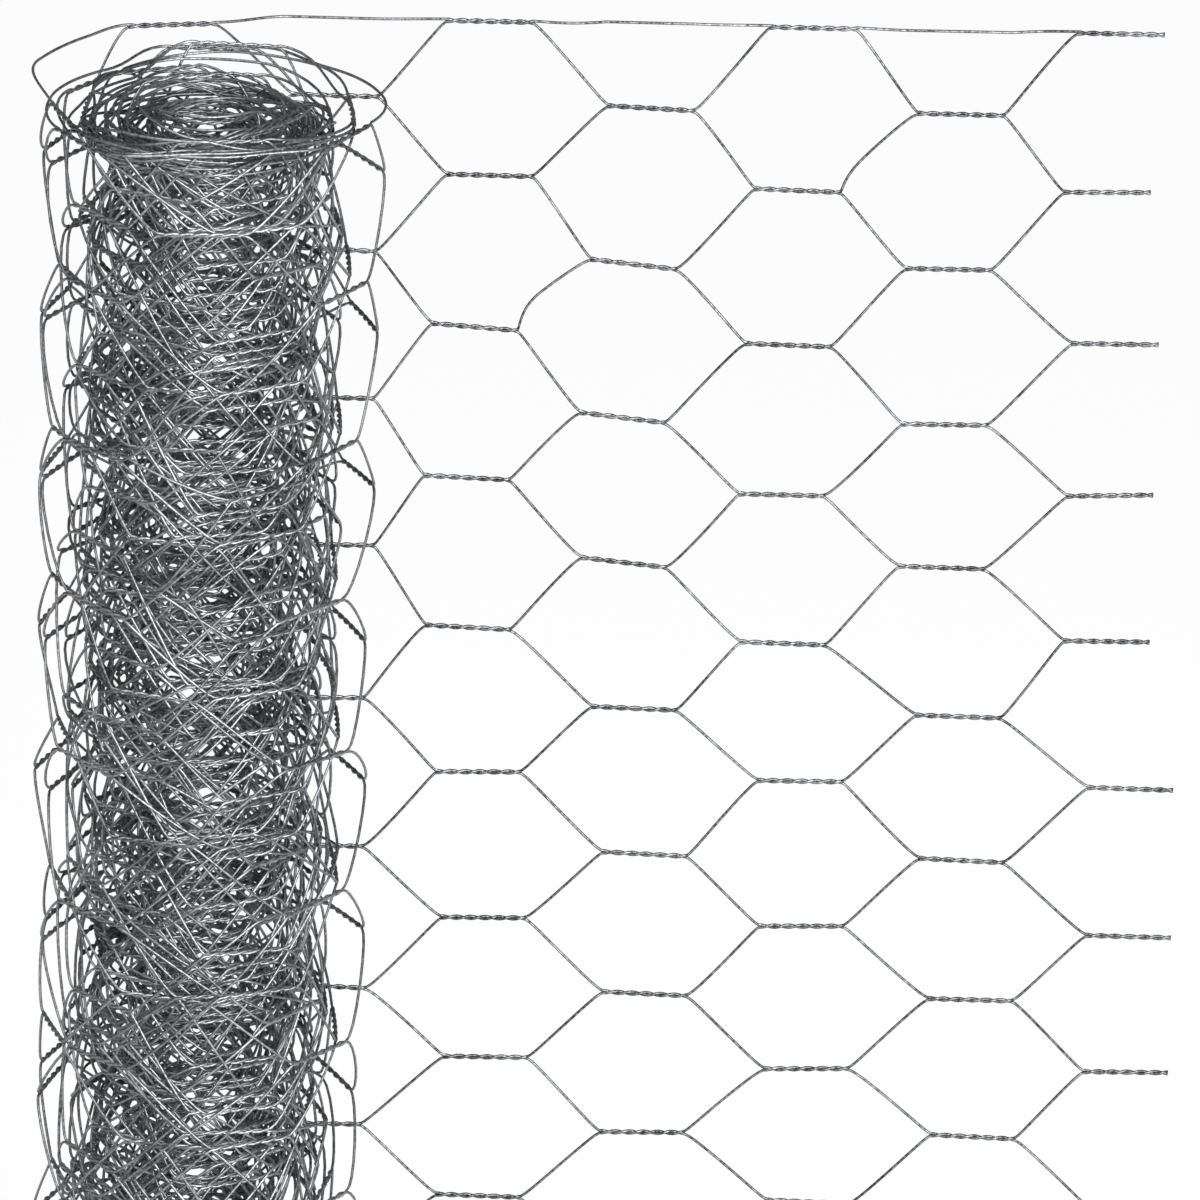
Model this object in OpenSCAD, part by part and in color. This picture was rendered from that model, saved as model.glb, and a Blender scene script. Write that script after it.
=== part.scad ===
// Roll of hexagonal wire netting, stood on end, with its last turn sprung open
// and its free end drawn out flat from the back of the roll.
// Millimetres, +Z up, the roll's axis on Z and the floor at z = 0.

/* [Netting] */
// Width of the netting between its two selvedges, which is its height as it stands
netting_width = 500; // [200:50:700]
// Height of one mesh, from a twisted side to the one above it, before it is fitted to the width
mesh = 50; // [40:1:90]
// Distance between neighbouring columns of twisted sides
column_pitch = 50; // [34:1:80]
// Length of one twisted side
twist_length = 27; // [10:1:30]
// Full turns that the two wires make in one twisted side
twist_turns = 3; // [1:1:4]
// Diameter of the wire
wire_d = 0.9; // [0.6:0.1:2.5]

/* [Wound roll] */
// Outside diameter of the wound turns
roll_d = 90; // [60:1:160]
// Diameter of the open middle
bore_d = 16; // [8:1:40]
// Turns of netting that show on each end
turns = 31; // [6:1:40]
// Depth of the gap between two turns, on each end
turn_gap_depth = 1.5; // [0.2:0.1:4]

/* [Sprung turn and free end] */
// How much wider the sprung turn's bend is than the roll, in radius
sprung_gap = 34; // [5:1:80]
// Clearance of the sprung turn where it lies on the roll
seat_gap = 0.1; // [0.05:0.05:0.3]
// Columns of twisted sides round the sprung turn, from the flat end to where it lies on the roll
sprung_columns = 3; // [1:1:5]
// Columns of twisted sides in the flat free end
flat_columns = 5; // [2:1:8]

/* [Hidden] */

// A whole number of meshes fills the width.
rows = round(netting_width / mesh);
row_pitch = netting_width / rows;

// A twisted side is as thick as two wires, so the selvedges lie one wire in from the ends.
edge_z = wire_d;
edges = [edge_z, edge_z + netting_width];
roll_h = netting_width + 2 * edge_z;
roll_r = roll_d / 2;
bore_r = bore_d / 2;
turn_pitch = (roll_r - bore_r) / turns;
bevel = turn_pitch / 3;

// The sprung turn is an arc that touches the roll at its inner end
// and runs along +X at its outer end, where the flat netting starts.
seat_r = roll_r + wire_d + seat_gap;
sprung_r = seat_r + sprung_gap;
sprung_angle = sprung_columns * column_pitch / sprung_r * 180 / PI;
sprung_centre = sprung_gap * [sin(sprung_angle), -cos(sprung_angle)];

// Slices in each full turn of a twisted pair
turn_slices = 4;
// The corners of this oblong lie on the round envelope of the pair.
pair_section = [2, 1] * 2 * wire_d / norm([2, 1]);
wire_sides = 4;
// A single wire's full section stops this far from a twisted side, and its point runs into it.
wire_stand = wire_d / 8;

// Direction and place in plan at a length s along the netting: flat past 0, wound before it
function heading(s) = s >= 0 ? 0 : -s / sprung_r * 180 / PI;
function spot(s) = sprung_centre + (s >= 0
    ? [s, sprung_r]
    : sprung_r * [-sin(heading(s)), cos(heading(s))]);

// The twisted sides of the odd columns reach both selvedges;
// those of the even columns lie half a mesh higher, between them.
function is_odd(k) = abs(k) % 2 == 1;
function last_row(k) = is_odd(k) ? rows : rows - 1;
function row_z(k, j) = edge_z + row_pitch * (is_odd(k) ? j : j + 0.5);

// The end of a single wire, as its place and the direction in plan that it points to.
// It points into column k's twisted sides: side is -1 for their ends towards the roll, 1 for the others.
function twist_end(k, side, z) =
    let (s = k * column_pitch, turn = heading(s))
    concat(spot(s) + side * (twist_length / 2 + wire_stand) * [cos(turn), sin(turn)],
           z, side > 0 ? turn + 180 : turn);
// At the start of the flat netting a selvedge wire is cut square across.
function cut_end(side, z) = concat(spot(0), z, side > 0 ? 0 : 180);

// Two wires twisted together, from the origin along +X
module twisted_pair(length) {
    turns_here = twist_turns * length / twist_length;
    rotate([0, 90, 0])
        linear_extrude(height = length, twist = 360 * turns_here, slices = ceil(turn_slices * turns_here))
            square(pair_section, center = true);
}

// The twisted sides of column k, between two places along them, measured from their middle
module twist_column(k, from = -twist_length / 2, to = twist_length / 2) {
    s = k * column_pitch;
    for (j = [0 : last_row(k)])
        translate(concat(spot(s), row_z(k, j)))
            rotate([0, 0, heading(s)])
                translate([from, 0, 0])
                    twisted_pair(to - from);
}

// A straight single wire between two ends
module wire(a, b) {
    hull()
        for (end = [a, b])
            translate([end[0], end[1], end[2]])
                rotate([0, 90, end[3]])
                    cylinder(d1 = wire_d, d2 = 0, h = wire_d / 2, $fn = wire_sides);
}

// The single wires between column k and the next: each twisted side of the even column
// takes one wire from below and one from above.
module diagonals(k) {
    odd = is_odd(k) ? k : k + 1;
    even = is_odd(k) ? k + 1 : k;
    side = even > odd ? 1 : -1;
    for (j = [0 : rows - 1])
        for (step = [0, 1])
            wire(twist_end(odd, side, row_z(odd, j + step)), twist_end(even, -side, row_z(even, j)));
}

// One selvedge wire past the even column k, from the odd column on one side of it to the other
module selvedge(k, z, before, after) {
    stops = [
        if (before) twist_end(k - 1, 1, z),
        twist_end(k, -1, z),
        twist_end(k, 1, z),
        if (after) twist_end(k + 1, -1, z)
    ];
    for (i = [1 : len(stops) - 1])
        wire(stops[i - 1], stops[i]);
}

module wound_roll() {
    end_steps = [
        [bore_r, 0],
        for (i = [1 : turns - 1])
            each [
                [bore_r + i * turn_pitch - bevel, 0],
                [bore_r + i * turn_pitch, turn_gap_depth],
                [bore_r + i * turn_pitch + bevel, 0]
            ],
        [roll_r, 0]
    ];
    last = len(end_steps) - 1;
    color("dimgray")
        rotate_extrude($fn = 96)
            polygon(concat(
                end_steps,
                [for (i = [last : -1 : 0]) [end_steps[i][0], roll_h - end_steps[i][1]]]
            ));
}

module sprung_turn() {
    color("gray")
        union() {
            twist_column(0, to = 0);
            for (z = edges) {
                wire(twist_end(-1, 1, z), twist_end(0, -1, z));
                wire(twist_end(0, -1, z), cut_end(-1, z));
            }
            for (k = [-sprung_columns : -1]) {
                twist_column(k);
                diagonals(k);
                if (!is_odd(k))
                    for (z = edges)
                        selvedge(k, z, k > -sprung_columns, true);
            }
        }
}

module free_end() {
    color("gray")
        union() {
            twist_column(0, from = 0);
            for (z = edges)
                wire(cut_end(1, z), twist_end(1, -1, z));
            for (k = [1 : flat_columns]) {
                twist_column(k);
                diagonals(k - 1);
                if (!is_odd(k))
                    for (z = edges)
                        selvedge(k, z, true, k < flat_columns);
            }
        }
}

wound_roll();
sprung_turn();
free_end();
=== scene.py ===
from math import radians

import bpy
import numpy as np
from mathutils import Matrix, Vector


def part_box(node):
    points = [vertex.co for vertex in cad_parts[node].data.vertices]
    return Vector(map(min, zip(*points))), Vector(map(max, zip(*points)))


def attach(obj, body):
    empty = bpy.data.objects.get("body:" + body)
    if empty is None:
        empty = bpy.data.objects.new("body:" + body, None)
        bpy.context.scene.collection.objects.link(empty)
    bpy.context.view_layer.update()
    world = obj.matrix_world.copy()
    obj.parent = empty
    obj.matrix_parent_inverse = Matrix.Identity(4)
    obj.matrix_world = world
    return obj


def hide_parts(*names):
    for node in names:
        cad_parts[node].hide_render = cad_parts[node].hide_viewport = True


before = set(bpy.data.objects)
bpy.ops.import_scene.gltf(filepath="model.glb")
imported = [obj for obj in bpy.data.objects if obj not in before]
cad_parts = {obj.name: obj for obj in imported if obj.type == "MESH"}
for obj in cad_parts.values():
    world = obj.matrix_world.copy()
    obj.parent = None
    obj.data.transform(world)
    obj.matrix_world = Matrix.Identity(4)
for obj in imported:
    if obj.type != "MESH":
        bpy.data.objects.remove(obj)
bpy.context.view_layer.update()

rollLow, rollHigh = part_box("wound_roll")
flatLow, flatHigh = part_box("free_end")

# all lengths in metres; half rows count the netting's heights, 0 at the lower selvedge
netting = {
    "rows": 10,
    "columnPitch": 0.050,
    "twistLength": 0.027,
    "twistTurns": 3,
    "wireDiameter": 0.0009,
    "flatColumns": 5,
    "sprungColumns": 3,
    "seed": 12,
}
halfRows = 2 * netting["rows"]
edgeHeight = netting["wireDiameter"]
rowPitch = (rollHigh.z - rollLow.z - 2 * edgeHeight) / netting["rows"]
draw = np.random.default_rng(netting["seed"])

# the way the netting takes in plan: flat, then the sprung arc, then the wound spiral
winding = {
    "sprungGap": 0.034,        # how much wider the sprung arc is than the roll
    "seatGap": 0.0010,         # from the wound turns to the sprung arc's seat
    "turns": 37,
    "fillOut": 0.8,            # less than 1 where the outer turns lie closer together
    "innerRadius": 0.0082,
    "coreRadius": 0.0380,      # the tightly wound turns reach this far, and the rest lie loose on them
    "looseTurns": 2.4,
    "coreCentre": (-0.0004, -0.0080),
    "looseShift": (0.0004, 0.0095),  # the loose turns hang back from the core's middle
    "gape": 0.0140,            # and stand out behind it
    "gapeTurns": 7.0,
    "gapeHold": 3,             # higher where more of these turns stand out in full
    "gapeNarrow": 3,           # higher where they do so over less of the roll's round
    "flatBend": 1e3,           # a bend radius that stands for none
    "tableSteps": 40000,
}
seatRadius = rollHigh.x + winding["seatGap"]
sprungRadius = seatRadius + winding["sprungGap"]
sprungLength = netting["sprungColumns"] * netting["columnPitch"]
seatAngle = sprungLength / sprungRadius
sprungCentre = winding["sprungGap"] * np.array([np.sin(seatAngle), -np.cos(seatAngle)])
flatPlane = sprungCentre[1] + sprungRadius
print("netting starts flat at", sprungCentre[0], "in the plane", flatPlane, "frame", flatLow, flatHigh)


# the spiral's angle and radius for a length wound past the seat: a power of the turns left, out to the
# core's radius, and a rest that dies away over the loose turns; its length is the integral of radius over
# angle
def makeSpiral():
    turn = np.linspace(0, winding["turns"], winding["tableSteps"])
    filled = (1 - turn / winding["turns"]) ** winding["fillOut"]
    core = winding["innerRadius"] + (winding["coreRadius"] - winding["innerRadius"]) * filled
    radius = core + (seatRadius - winding["coreRadius"]) * np.exp(-turn / winding["looseTurns"])
    angle = 2 * np.pi * turn
    step = np.diff(angle) * (radius[1:] + radius[:-1]) / 2
    length = np.concatenate([[0], np.cumsum(step)])
    print("wound length", round(length[-1], 2))
    return length, angle, radius


spiralLength, spiralAngle, spiralRadius = makeSpiral()
woundColumns = int(spiralLength[-1] / netting["columnPitch"])
columns = np.arange(-netting["sprungColumns"] - woundColumns, netting["flatColumns"] + 1)


# the direction in plan that points out of the roll, for a turn of the netting
def outwardAt(turn):
    return np.stack([-np.sin(turn), np.cos(turn)], -1)


# place, turn and bend radius in plan at a length s along the netting, which is 0 where it goes flat: a
# line, an arc round the sprung centre, and the spiral round a centre that lies further back for the loose
# turns. Their radius also grows behind the roll, by a power of a cosine
def planPath(s):
    past = np.clip(-s - sprungLength, 0, None)
    wound = past > 0
    pastAngle = np.interp(past, spiralLength, spiralAngle)
    pastTurns = pastAngle / (2 * np.pi)
    turn = np.clip(-s, 0, sprungLength) / sprungRadius + pastAngle
    radius = np.where(wound, np.interp(past, spiralLength, spiralRadius), sprungRadius)
    behind = np.clip(np.cos(turn), 0, 1) ** winding["gapeNarrow"] * wound
    gaping = 1 - np.clip(pastTurns / winding["gapeTurns"], 0, 1) ** winding["gapeHold"]
    radius = radius + winding["gape"] * behind * gaping
    fade = np.exp(-pastTurns / winding["looseTurns"])[..., None]
    eccentric = np.array(winding["coreCentre"]) + np.array(winding["looseShift"]) * fade
    centre = np.where(wound[..., None], eccentric, sprungCentre)
    place = centre + radius[..., None] * outwardAt(turn)
    place[..., 0] += np.clip(s, 0, None)
    return place, turn, np.where(s < 0, radius, winding["flatBend"])


# a bump of height 1 at the middle, with a bell's shape
def bell(x, middle, width):
    return np.exp(-((x - middle) / width) ** 2)


# 0 up to the start, 1 past the stretch, and a straight rise between them
def rise(x, start, stretch):
    return np.clip((x - start) / stretch, 0, 1)


# a sum of sine waves along the netting and up it, with drawn phases: slow drift between turns
def drift(grid, waves):
    total = np.zeros(grid["s"].shape)
    for height, alongWave, upWave in waves:
        phase = grid["s"] / alongWave + grid["z"] / upWave + draw.random()
        total = total + height * np.sin(2 * np.pi * phase)
    return total


# where the netting is uneven; a pair is the start and stretch of a rise, from the flat end inward
lattice = {
    "pitchJitter": 0.002,      # of one column from the next, in the wound turns
    "woundJitter": 0.0018,
    "flatJitter": 0.0010,
    "looseRagged": 0.4,        # share of the jitter in the outermost turns
    "deep": (0.3, 0.6),
    "tight": (1.3, 0.6),
    "inner": (2.5, 1.5),
    "selvedgeZone": 1 / 12,    # share of the width, at each edge
    "topZone": 0.04,
    "shownHeight": 0.8,        # share of the width that the photo shows
}


# the even lattice, by column and half row: for each of its nodes how far it lies along and up the netting,
# how far it belongs to each zone, and six drawn numbers
def makeGrid():
    wound = columns < -netting["sprungColumns"]
    uneven = lattice["pitchJitter"] * draw.uniform(-1, 1, len(columns)) * wound
    walk = np.cumsum(uneven[::-1])[::-1]
    s = (columns * netting["columnPitch"] + walk)[:, None] + np.zeros(halfRows + 1)
    up = np.arange(halfRows + 1) / halfRows + np.zeros_like(s)
    loose = rise(-s, 0, sprungLength)
    deep = rise(-s, *lattice["deep"])
    ragged = loose * (lattice["looseRagged"] + (1 - lattice["looseRagged"]) * deep)
    return {
        "s": s,
        "up": up,
        "z": up * halfRows * rowPitch / 2,
        "flat": rise(s, 0, netting["flatColumns"] * netting["columnPitch"]),
        "drawnOut": (columns >= 0)[:, None],
        "loose": loose,
        "deep": deep,
        "tight": rise(-s, *lattice["tight"]),
        "inner": rise(-s, *lattice["inner"]),
        "inside": rise(np.minimum(up, 1 - up), 0, lattice["selvedgeZone"]),
        "fromTop": rise(1 - up, 0, lattice["shownHeight"]),
        "onTop": bell(up, 1, lattice["topZone"]),
        "jitter": lattice["flatJitter"] + ragged * (lattice["woundJitter"] - lattice["flatJitter"]),
        "spread": draw.uniform(-1, 1, (6,) + s.shape),
    }


# in all the shifts a pair is the middle and width of a bell, unless a note says otherwise
alongShift = {
    "waves": [(0.0045, 0.47, 0.43), (0.0035, 0.31, 0.27)],
    "jitter": 1.3,
    "shear": 0.0110,           # the flat end's cut edge is slanted
    "shearSlope": 2.0,
    "shearStart": -0.75,
    "topCut": 0.55,
    "topCutAt": (0, 0.08),
    "dent": 0.0075,            # its middle is pulled back
    "dentAt": (0.40, 0.20),
    "dentWave": (0.1, 0.8),    # start and length, in half waves over the flat end
    "slack": 0.0030,           # it starts slack
    "topSlip": 0.0120,         # the upper selvedge has slipped round the sprung turn
    "topSlipAt": (-0.1, 0.02),
    "cutJitter": 0.0024,       # of the cut edge
}


# drift and jitter in the roll, and in the flat end a slant by height, less a bell times a half wave
def shiftAlong(grid):
    shift = alongShift
    fromTop, flat = grid["fromTop"], grid["flat"]
    slant = shift["shearSlope"] * fromTop + shift["shearStart"]
    slant = slant + shift["topCut"] * bell(fromTop, *shift["topCutAt"])
    start, length = shift["dentWave"]
    wave = np.sin(np.pi * (length * flat + start)) * (flat > 0)
    pull = shift["shear"] * flat * slant
    pull = pull - shift["dent"] * bell(fromTop, *shift["dentAt"]) * wave
    pull = pull + shift["slack"] * (1 - flat) * grid["drawnOut"]
    pull = pull + shift["topSlip"] * grid["onTop"] * bell(grid["s"], *shift["topSlipAt"])
    pull = pull + shift["cutJitter"] * grid["spread"][5] * (flat == 1)
    drifting = grid["loose"] * drift(grid, shift["waves"])
    return drifting + pull + shift["jitter"] * grid["jitter"] * grid["spread"][0]


upShift = {
    "waves": [(0.0065, 0.83, 1.30), (0.0055, 0.53, 0.90), (0.0040, 0.33, 0.60)],
    "looseShare": 0.6,         # share of the drift in the outermost turns
    "deepShare": 1.2,          # and what it gains in the deeper ones
    "edgeWaves": [(0.0026, 0.31, 0.9), (0.0022, 0.119, 0.7), (0.0016, 0.067, 0.7)],
    "edgeJitter": 0.0006,
    "sag": 0.0050,             # the flat end's middle hangs down, and its foot is lifted
    "sagAt": (0.28, 0.30),
    "sagWave": (0.25, 0.6),    # start and length, in half waves over the flat end
    "sagFrom": 0.25,
    "lift": 0.0045,
    "liftOver": (0.7, 0.3),    # start and stretch of a rise
    "clearance": 0.0002,       # of the lower selvedge, over the floor
    "narrowing": 0.0042,       # tightly wound turns are stretched, and so a little lower
}


# drift and jitter between the selvedges, drift of their own along them, and the flat end's sag as a bell
# times a half wave; the lower selvedge stays over the floor
def shiftUp(grid):
    shift = upShift
    fromTop, flat, spread = grid["fromTop"], grid["flat"], grid["spread"][1]
    share = grid["loose"] * (shift["looseShare"] + shift["deepShare"] * grid["deep"])
    middle = share * drift(grid, shift["waves"]) + grid["jitter"] * spread
    start, length = shift["sagWave"]
    wave = np.sin(np.pi * (start + length * flat)) * (flat > shift["sagFrom"])
    middle = middle - shift["sag"] * bell(fromTop, *shift["sagAt"]) * wave
    middle = middle + shift["lift"] * rise(fromTop, *shift["liftOver"]) * grid["drawnOut"]
    edge = shift["edgeJitter"] * spread
    edge = edge + grid["deep"] * (1 + grid["inner"]) * drift(grid, shift["edgeWaves"])
    total = grid["inside"] * middle + (1 - grid["inside"]) * edge
    total = np.where(grid["up"] == 0, np.abs(total) + shift["clearance"], total)
    return total - shift["narrowing"] * grid["tight"] * grid["up"]


outShift = {
    "waves": [(0.0010, 0.117, 0.21), (0.0008, 0.071, 0.13), (0.0006, 0.047, 0.09)],
    "flatShare": 0.3,          # share of the drift in the flat end
    "endWaves": [(0.0020, 0.137, 0.7), (0.0017, 0.083, 0.7), (0.0010, 0.053, 0.7)],
    "jitter": 0.6,
    # height, what it gains at the upper selvedge, what it gains up the roll, middle and width of a bell
    "bulges": [
        (0.0035, 0.0080, 0, -0.100, 0.045),
        (-0.0030, 0, 0, -0.160, 0.025),
        (0.0030, 0, 0.0060, -0.275, 0.035),
        (0.0040, 0, 0, -0.415, 0.060),
    ],
}


# drift and jitter, more drift at the roll's two ends, and bells round the sprung turn and the next one
def shiftOut(grid):
    shift = outShift
    share = shift["flatShare"] + (1 - shift["flatShare"]) * grid["loose"]
    total = share * drift(grid, shift["waves"]) + shift["jitter"] * grid["jitter"] * grid["spread"][2]
    total = total + (1 - grid["inside"]) * grid["deep"] * drift(grid, shift["endWaves"])
    for height, atTop, upRoll, middle, width in shift["bulges"]:
        bulge = height + atTop * grid["onTop"] + upRoll * grid["up"]
        total = total + bulge * bell(grid["s"], middle, width)
    return total


# how the twisted sides are turned; angles in radians
turning = {
    "jitter": 0.05,
    "flatYaw": 0.3,            # share of the jitter in the flat end
    "flatTilt": 0.8,
    "topTurn": 0.44,           # the upper selvedge keeps straight for longer, and then bends more sharply
    "topTurnAt": (-0.05, 0.02),
    "droop": 0.100,            # the flat end's upper twisted sides slope down
    "droopDown": (0.2, 0.35),
    "droopAlong": (0.38, 0.2),
}


# nodes are the middles of the twisted sides: the lattice's places on the plan path, shifted, with the
# side's direction turned a little from the path's and tilted a little from the level
def makeNodes():
    grid = makeGrid()
    loose, spread = grid["loose"], grid["spread"]
    s = grid["s"] + shiftAlong(grid)
    height = edgeHeight + grid["z"] + shiftUp(grid)
    place, turn, radius = planPath(s)
    place = place + shiftOut(grid)[..., None] * outwardAt(turn)
    middle = np.concatenate([place, height[..., None]], -1)

    yawShare = turning["flatYaw"] + (1 - turning["flatYaw"]) * loose
    yaw = turn + yawShare * turning["jitter"] * spread[3]
    yaw = yaw - turning["topTurn"] * grid["onTop"] * bell(s, *turning["topTurnAt"])
    tiltShare = turning["flatTilt"] + (1 - turning["flatTilt"]) * loose
    droop = bell(grid["fromTop"], *turning["droopDown"]) * bell(grid["flat"], *turning["droopAlong"])
    tilt = grid["inside"] * (tiltShare * turning["jitter"] * spread[4] - turning["droop"] * droop)
    side = np.stack([-np.sin(yaw), np.cos(yaw), np.zeros_like(yaw)], -1)
    along = np.stack([np.cos(yaw) * np.cos(tilt), np.sin(yaw) * np.cos(tilt), np.sin(tilt)], -1)
    upward = np.cross(along, side)
    return {"middle": middle, "along": along, "side": side, "upward": upward, "radius": radius}


nodes = makeNodes()
print("nodes", nodes["middle"].shape)

# rings of vertices along one wire
sweep = {
    "sides": 6,
    "woundTwistRings": 18,
    "woundRunRings": 9,
    "flatTwistRings": 31,
    "flatRunRings": 19,
    "stiffFrom": 0.014,        # a twisted side stays straighter where the roll's radius is larger
    "stiffOver": 0.02,
    "stiffRange": (0.1, 0.85),
    "bendSoftness": 0.08,
    "bow": 0.0008,
    "kinks": [(16, 1, 0.0074), (18, 3, 0.0046)],  # wire, column it leaves, height
    "kinkAt": 0.08,
    "meshFollow": 0.50,        # how far a run keeps the direction of the side it leaves
    "edgeFollow": 1.0,
}


# a wire's centre line through a stretch of columns. In a twisted side it is a helix round the side's middle
# line, which bends with the roll; between two sides it is a cubic in plan that leaves one and enters the
# next along their directions, with a rounded ramp in height
def wireLine(pick, rows, hand, kink, follow, twistRings, runRings):
    at = {name: values[pick, rows[pick]] for name, values in nodes.items()}
    twisted = (hand[pick] != 0)[:, None, None]
    stiff = np.clip((at["radius"] - sweep["stiffFrom"]) / sweep["stiffOver"], *sweep["stiffRange"])
    stiff = np.where(twisted[:, 0, 0], stiff, 0)
    bend = ((1 - stiff) / at["radius"])[:, None, None]

    t = np.linspace(0, 1, twistRings)[None, :, None]
    along = (t - 0.5) * netting["twistLength"]
    phase = 2 * np.pi * netting["twistTurns"] * t + np.where(hand[pick] < 0, np.pi, 0)[:, None, None]
    away = netting["wireDiameter"] / 2 * twisted
    line = at["middle"][:, None] + along * at["along"][:, None]
    line = line - at["side"][:, None] * bend * along ** 2 / 2
    line = line + away * (np.cos(phase) * at["upward"][:, None] + np.sin(phase) * at["side"][:, None])

    start = line[:-1, -1:]
    stop = line[1:, :1]
    lean = bend * netting["twistLength"] / 2
    leave = at["along"][:-1, None] - lean[:-1] * at["side"][:-1, None]
    enter = at["along"][1:, None] + lean[1:] * at["side"][1:, None]
    chord = (stop - start)[..., :2]
    reach = np.linalg.norm(chord, axis=-1, keepdims=True) * follow
    u = (1 - np.cos(np.pi * np.arange(1, runRings + 1) / (runRings + 1)))[None, :, None] / 2
    run = (start * (1 + 2 * u) * (1 - u) ** 2 + stop * u ** 2 * (3 - 2 * u)
           + reach * (leave * u * (1 - u) ** 2 - enter * u ** 2 * (1 - u)))

    part = ((run - start)[..., :2] * chord).sum(-1) / (chord ** 2).sum(-1)
    soft = sweep["bendSoftness"]
    ramp = np.sqrt(part ** 2 + soft ** 2) - np.sqrt((1 - part) ** 2 + soft ** 2)
    rampEnd = np.sqrt(1 + soft ** 2) - soft
    bows = sweep["bow"] * draw.uniform(-1, 1, (2, len(pick) - 1, 1)) * np.sin(np.pi * u[..., 0])
    run[..., 2] = start[..., 2] + (stop - start)[..., 2] * (ramp / rampEnd + 1) / 2
    run[..., 2] += bows[0] * twisted[:-1, :, 0]
    run[..., 2] += kink[pick[:-1], None] * (1 - np.exp(-part / sweep["kinkAt"])) * (1 - part)
    run = run + bows[1][..., None] * at["side"][:-1, None]
    return np.concatenate([line[:-1], run], 1).reshape(-1, 3), line[-1]


# a round tube along a line of points: each ring lies across the line, level with the ground on one axis
def tube(line, sides, radius):
    ahead = np.gradient(line, axis=0)
    ahead = ahead / np.linalg.norm(ahead, axis=1, keepdims=True)
    level = np.cross(ahead, [0, 0, 1])
    level = level / np.linalg.norm(level, axis=1, keepdims=True)
    upright = np.cross(level, ahead)
    angle = 2 * np.pi * np.arange(sides) / sides
    ring = np.cos(angle)[:, None] * level[:, None] + np.sin(angle)[:, None] * upright[:, None]
    points = line[:, None] + radius * ring
    index = np.arange(len(line) * sides).reshape(len(line), sides)
    beside = np.roll(index, -1, 1)
    quads = np.stack([index[:-1], beside[:-1], beside[1:], index[1:]], -1).reshape(-1, 4)
    half = sides // 2
    firstCap = np.array([[0, half, half - 1, 1], [0, sides - 1, half + 1, half]])
    lastCap = index[-1][[[0, 1, half - 1, half], [0, half, half + 1, sides - 1]]]
    return points.reshape(-1, 3), np.concatenate([quads, firstCap, lastCap])


def addPiece(name, points, faces):
    mesh = bpy.data.meshes.new(name)
    mesh.from_pydata(points, [], faces)
    mesh.polygons.foreach_set("use_smooth", np.ones(len(mesh.polygons), bool))
    mesh.update()
    piece = bpy.data.objects.new(name, mesh)
    bpy.context.scene.collection.objects.link(piece)
    return piece


# half rows and hands of one wire: a mesh wire lies in the upper or lower place of each twisted side, and
# pairs with the wire above in every other column and with the one below in the rest; a selvedge is twisted
# in odd columns alone
odd = columns % 2 != 0
wires = []
for number in range(2 * netting["rows"]):
    rows = np.where(odd, 2 * ((number + 1) // 2), 2 * (number // 2) + 1)
    upper = odd == (number % 2 == 0)
    kink = sum(height * (columns == column) * (number == wire) for wire, column, height in sweep["kinks"])
    wires.append((f"mesh_wire_{number + 1:02d}", rows, np.where(upper, 1, -1), kink))
wires.append(("selvedge_lower", np.zeros_like(columns), np.where(odd, -1, 0), 0 * columns))
wires.append(("selvedge_upper", np.full_like(columns, halfRows), np.where(odd, 1, 0), 0 * columns))

# each wire has more rings from the seat of the sprung turn outward
seat = len(columns) - netting["flatColumns"] - netting["sprungColumns"] - 1
woundPart = np.arange(seat + 1)
flatPart = np.arange(seat, len(columns))
pieces = []
for name, rows, hand, kink in wires:
    follow = sweep["meshFollow"] if hand.all() else sweep["edgeFollow"]
    shape = (rows, hand, kink, follow)
    woundLine, _ = wireLine(woundPart, *shape, sweep["woundTwistRings"], sweep["woundRunRings"])
    flatLine, cutLine = wireLine(flatPart, *shape, sweep["flatTwistRings"], sweep["flatRunRings"])
    line = np.concatenate([woundLine, flatLine, cutLine])
    points, faces = tube(line, sweep["sides"], netting["wireDiameter"] / 2)
    piece = addPiece(name, points, faces)
    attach(piece, "root")
    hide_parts("wound_roll", "sprung_turn", "free_end")
    pieces.append(piece)
print("wires", len(pieces), "triangles", sum(2 * len(piece.data.polygons) for piece in pieces))


# wraps one output socket, so that shader maths reads as an expression
class Flow:
    def __init__(self, tree, socket=None):
        self.tree = tree
        self.socket = socket

    # a node of any type: settings first, then the values or links of its sockets
    def node(self, kind, settings={}, sockets={}, output=0):
        made = self.tree.nodes.new(kind)
        for name, value in settings.items():
            setattr(made, name, value)
        for name, value in sockets.items():
            if isinstance(value, Flow):
                self.tree.links.new(value.socket, made.inputs[name])
            else:
                made.inputs[name].default_value = value
        return Flow(self.tree, made.outputs[output] if len(made.outputs) else None)

    def maths(self, operation, first, second):
        return self.node("ShaderNodeMath", {"operation": operation}, {0: first, 1: second})

    def __add__(self, other):
        return self.maths("ADD", self, other)

    def __radd__(self, other):
        return self.maths("ADD", other, self)

    def __sub__(self, other):
        return self.maths("SUBTRACT", self, other)

    def __rmul__(self, other):
        return self.maths("MULTIPLY", other, self)

    def larger(self, other):
        return self.maths("MAXIMUM", self, other)


def emptyTree(owner):
    owner.use_nodes = True
    owner.node_tree.nodes.clear()
    return Flow(owner.node_tree)


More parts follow.
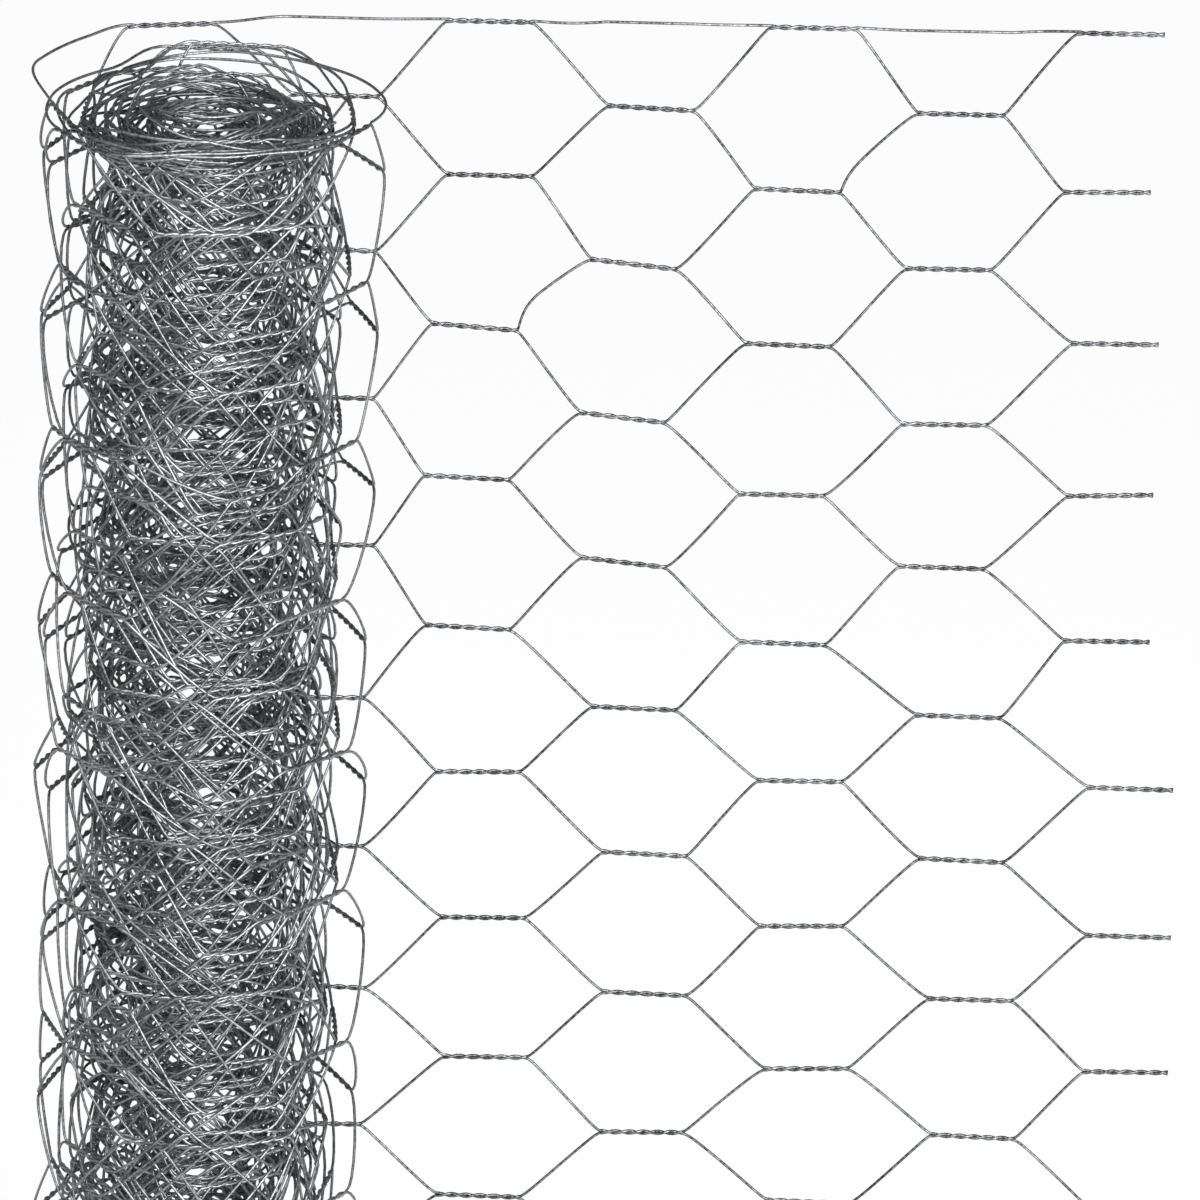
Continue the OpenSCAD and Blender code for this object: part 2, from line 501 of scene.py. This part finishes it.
zinc = {
    "dark": (0.026, 0.028, 0.031, 1),
    "bright": (0.280, 0.287, 0.298, 1),
    "brightCloud": 1.1,        # what each pattern adds to the share of the bright grey
    "brightSpangle": 0.8,
    "brightLess": 0.42,        # and what is taken off
    "metallic": 0.85,
    "roughness": 0.40,
    "roughCloud": 0.14,
    "cloudScale": 45,
    "cloudDetail": 3.0,
    "spangleScale": 900,
    "grainScale": 2600,
    "grainDetail": 2.0,
    "bump": 0.08,
    "bumpDepth": 0.0001,
    "paintedShadeStart": 0.055,         # painted shade: the netting's colour is made darker where it is drawn out, behind the roll
    "paintedShadeEnd": 0.085,
    "paintedShadeDepth": 0.24,
}


# dull zinc: cloudy patches and small spangles mix a dark and a bright grey, and the clouds change the
# gloss; painted shade darkens the grey where the netting is drawn out, behind the roll
def zincMaterial():
    material = bpy.data.materials.new("galvanised_zinc")
    tree = emptyTree(material)
    spot = tree.node("ShaderNodeTexCoord", output=3)
    cloud = tree.node("ShaderNodeTexNoise", {},
                      {"Vector": spot, "Scale": zinc["cloudScale"], "Detail": zinc["cloudDetail"]})
    spangle = tree.node("ShaderNodeTexVoronoi", {}, {"Vector": spot, "Scale": zinc["spangleScale"]})
    grain = tree.node("ShaderNodeTexNoise", {},
                      {"Vector": spot, "Scale": zinc["grainScale"], "Detail": zinc["grainDetail"]})
    backward = tree.node("ShaderNodeSeparateXYZ", {}, {0: spot}, output=1)
    drawnOut = tree.node("ShaderNodeMapRange", {}, {0: backward, 1: zinc["paintedShadeStart"], 2: zinc["paintedShadeEnd"]})
    shine = zinc["brightCloud"] * cloud + zinc["brightSpangle"] * spangle - zinc["brightLess"]
    # painted shade: the grey is pushed darker on the drawn-out netting behind the roll
    shine = shine - zinc["paintedShadeDepth"] * drawnOut
    colour = tree.node("ShaderNodeMix", {"data_type": "RGBA"},
                       {0: shine, 6: zinc["dark"], 7: zinc["bright"]}, output=2)
    bump = tree.node("ShaderNodeBump", {},
                     {"Strength": zinc["bump"], "Distance": zinc["bumpDepth"], "Height": grain})
    shader = tree.node("ShaderNodeBsdfPrincipled", {}, {
        "Base Color": colour,
        "Roughness": zinc["roughness"] + zinc["roughCloud"] * cloud,
        "Metallic": zinc["metallic"],
        "Normal": bump,
    })
    tree.node("ShaderNodeOutputMaterial", {}, {"Surface": shader})
    return material


coating = zincMaterial()
for piece in pieces:
    piece.data.materials.append(coating)

stage = {
    "floorRadius": 9.0,
    "floorSides": 64,
    "floorColour": (0.90, 0.90, 0.90, 1),
    "glow": 0.93,              # share of the floor that is plain white to the camera and in reflections
    "ambient": 0.12,
}


# one where a ray comes from the camera, a reflection or a refraction
def seenDirectly(tree):
    straight = tree.node("ShaderNodeLightPath", output="Is Camera Ray")
    glossy = tree.node("ShaderNodeLightPath", output="Is Glossy Ray")
    through = tree.node("ShaderNodeLightPath", output="Is Transmission Ray")
    return straight.larger(glossy).larger(through)


# a level disc: one ring of points round the origin
def makeFloor():
    corner = np.arange(stage["floorSides"])
    angle = 2 * np.pi * corner / stage["floorSides"]
    rim = stage["floorRadius"] * np.stack([np.cos(angle), np.sin(angle), 0 * angle], -1)
    floor = addPiece("floor", rim, corner[None])
    material = bpy.data.materials.new("pale_floor")
    tree = emptyTree(material)
    matt = tree.node("ShaderNodeBsdfDiffuse", {}, {"Color": stage["floorColour"]})
    white = tree.node("ShaderNodeEmission", {}, {"Strength": 1.0})
    mixed = tree.node("ShaderNodeMixShader", {}, {0: stage["glow"] * seenDirectly(tree), 1: matt, 2: white})
    tree.node("ShaderNodeOutputMaterial", {}, {"Surface": mixed})
    floor.data.materials.append(material)


def makeWorld():
    world = bpy.data.worlds.new("studio")
    bpy.context.scene.world = world
    tree = emptyTree(world)
    soft = tree.node("ShaderNodeBackground", {}, {"Color": (1, 1, 1, 1), "Strength": stage["ambient"]})
    tree.node("ShaderNodeOutputWorld", {}, {"Surface": soft})


lamps = {
    "key": {"place": (0.86, -2.45, 1.00), "size": 1.0, "power": 195},
    "fill": {"place": (-0.5, -1.0, 2.6), "size": 1.2, "power": 50},
}
aim = Vector((0.05, 0.0, 0.25))


def makeLamps():
    for name, lamp in lamps.items():
        data = bpy.data.lights.new(name, "AREA")
        data.size = lamp["size"]
        data.energy = lamp["power"]
        item = bpy.data.objects.new(name, data)
        item.location = lamp["place"]
        item.rotation_euler = (aim - item.location).to_track_quat("-Z", "Y").to_euler()
        bpy.context.scene.collection.objects.link(item)


camera = {
    "target": (0.1212, 0.0, 0.3448),
    "distance": 4.0,
    "pitch": 20.94,            # degrees down
    "roll": 1.32,              # degrees, right side lower
    "lens": 392,
    "sensor": 36,
    "clipEnd": 60,
}


def makeCamera():
    data = bpy.data.cameras.new("camera")
    data.lens = camera["lens"]
    data.sensor_width = camera["sensor"]
    data.clip_end = camera["clipEnd"]
    pitch = Matrix.Rotation(radians(90 - camera["pitch"]), 4, "X")
    roll = Matrix.Rotation(radians(camera["roll"]), 4, "Z")
    turn = pitch @ roll
    back = turn @ Vector((0, 0, camera["distance"]))
    item = bpy.data.objects.new("camera", data)
    item.matrix_world = Matrix.Translation(Vector(camera["target"]) + back) @ turn
    bpy.context.scene.collection.objects.link(item)
    bpy.context.scene.camera = item


makeFloor()
makeWorld()
makeLamps()
makeCamera()
bpy.context.scene.view_settings.view_transform = "Standard"
print("stage set")

bpy.context.view_layer.update()
